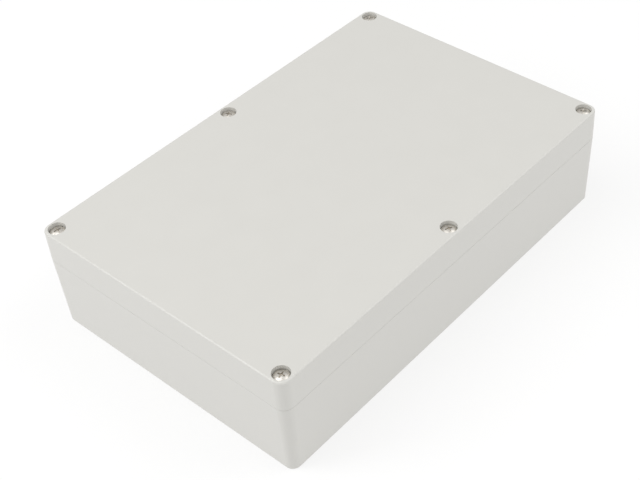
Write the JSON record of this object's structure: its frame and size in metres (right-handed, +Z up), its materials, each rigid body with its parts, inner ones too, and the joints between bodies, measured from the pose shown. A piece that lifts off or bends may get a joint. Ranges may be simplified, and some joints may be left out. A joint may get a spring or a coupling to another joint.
{
  "type": "electronics enclosure",
  "caption": "Sealed rectangular plastic enclosure for electronics: a drafted tray with a lift-off lid, a cord seal in a tongue-and-groove rim, and recessed lid screws.",
  "frame": {"origin": "centre of the underside, on the surface that the enclosure stands on", "axes": "+X along the length, +Y along the width, +Z up through the lid"},
  "size_m": [0.222, 0.146, 0.055],
  "materials": {
    "shell": "fine matte moulded texture, light warm grey",
    "seal": "smooth, soft, cream",
    "screw": "satin nickel",
    "insert": "turned and knurled"
  },
  "bodies": {
    "base": {"base": "shell", "insert_front_left": "insert", "insert_front_middle": "insert", "insert_front_right": "insert", "insert_rear_left": "insert", "insert_rear_middle": "insert", "insert_rear_right": "insert"},
    "lid": {"lid": "shell", "seal": "seal"},
    "lid_screw_front_left": {"lid_screw_front_left": "screw"},
    "lid_screw_front_middle": {"lid_screw_front_middle": "screw"},
    "lid_screw_front_right": {"lid_screw_front_right": "screw"},
    "lid_screw_rear_left": {"lid_screw_rear_left": "screw"},
    "lid_screw_rear_middle": {"lid_screw_rear_middle": "screw"},
    "lid_screw_rear_right": {"lid_screw_rear_right": "screw"}
  },
  "joints": [
    {"name": "lid_lift", "type": "slide", "parent": "base", "child": "lid", "axis": [0, 0, 1], "range_m": [0, 0.08]},
    {"name": "lid_screw_front_left_draw", "type": "slide", "parent": "lid", "child": "lid_screw_front_left", "axis": [0, 0, 1], "range_m": [0, 0.025]},
    {"name": "lid_screw_front_middle_draw", "type": "slide", "parent": "lid", "child": "lid_screw_front_middle", "axis": [0, 0, 1], "range_m": [0, 0.025]},
    {"name": "lid_screw_front_right_draw", "type": "slide", "parent": "lid", "child": "lid_screw_front_right", "axis": [0, 0, 1], "range_m": [0, 0.025]},
    {"name": "lid_screw_rear_left_draw", "type": "slide", "parent": "lid", "child": "lid_screw_rear_left", "axis": [0, 0, 1], "range_m": [0, 0.025]},
    {"name": "lid_screw_rear_middle_draw", "type": "slide", "parent": "lid", "child": "lid_screw_rear_middle", "axis": [0, 0, 1], "range_m": [0, 0.025]},
    {"name": "lid_screw_rear_right_draw", "type": "slide", "parent": "lid", "child": "lid_screw_rear_right", "axis": [0, 0, 1], "range_m": [0, 0.025]}
  ]
}
